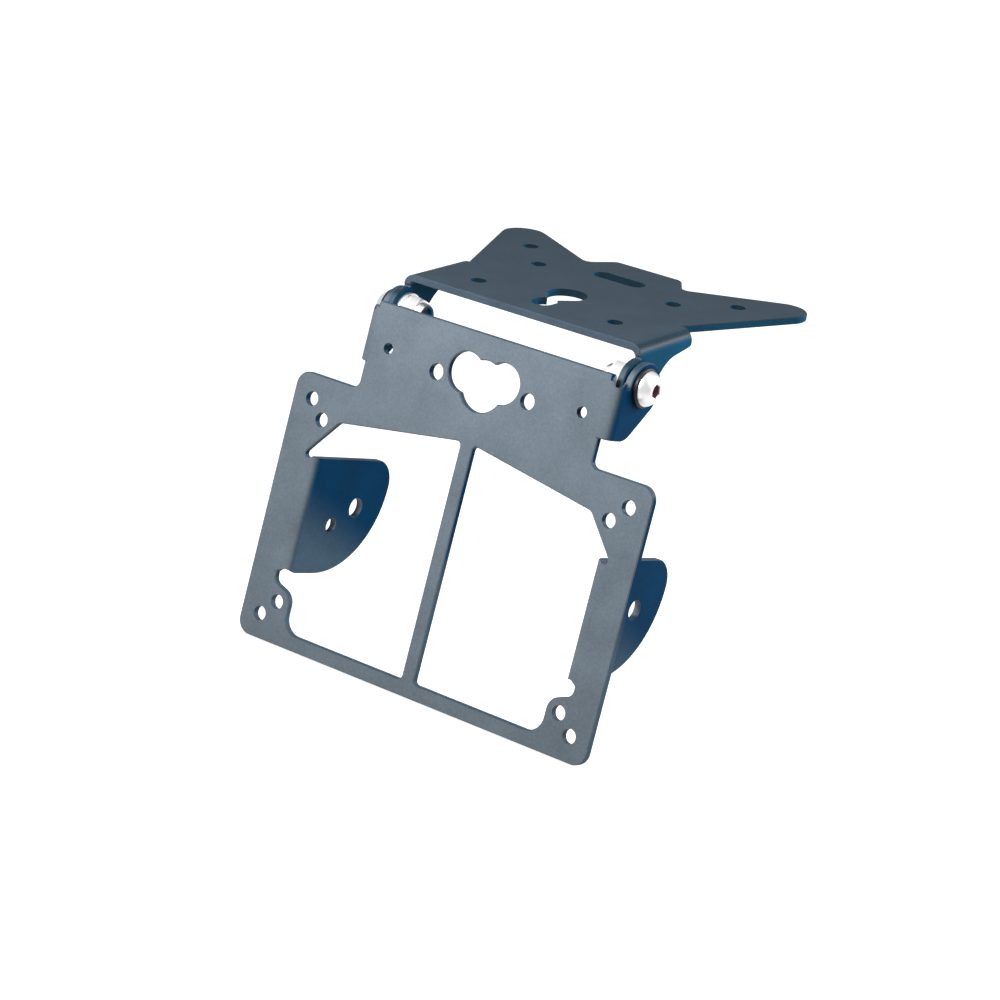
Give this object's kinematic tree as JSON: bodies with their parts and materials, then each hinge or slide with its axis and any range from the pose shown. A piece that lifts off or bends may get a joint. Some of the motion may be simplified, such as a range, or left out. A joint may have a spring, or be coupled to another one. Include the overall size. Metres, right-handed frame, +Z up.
{
  "type": "tail tidy",
  "caption": "Folded sheet bracket that holds a number plate, lamp and turn signals under a motorbike's tail, with an adjustable plate angle.",
  "frame": {"origin": "centre of the four mounting holes, on the top face of the mounting bracket", "axes": "+X across the bike to its side, +Y forward to the bike, away from the plate's front face, and +Z up"},
  "size_m": [0.173, 0.1519, 0.1508],
  "materials": {
    "mount_coat": "satin fine-textured black powder coat",
    "plate_coat": "satin fine-textured black powder coat",
    "stainless": "bright stainless steel",
    "nut_steel": "bright stainless steel",
    "washer_black": "dull black oxide",
    "insert_nylon": "dark blue nylon"
  },
  "bodies": {
    "mount": {"mounting_bracket": "mount_coat", "left_pivot_screw": "stainless", "left_outer_washer": "washer_black", "left_inner_washer": "washer_black", "left_lock_nut": "nut_steel", "left_nut_insert": "insert_nylon", "right_pivot_screw": "stainless", "right_outer_washer": "washer_black", "right_inner_washer": "washer_black", "right_lock_nut": "nut_steel", "right_nut_insert": "insert_nylon"},
    "plate": {"plate_bracket": "plate_coat"}
  },
  "joints": [
    {"name": "plate_tilt", "type": "hinge", "parent": "mount", "child": "plate", "pos_m": [0, -0.038, -0.0156], "axis": [1, 0, 0], "range_deg": [-45, 60]}
  ]
}
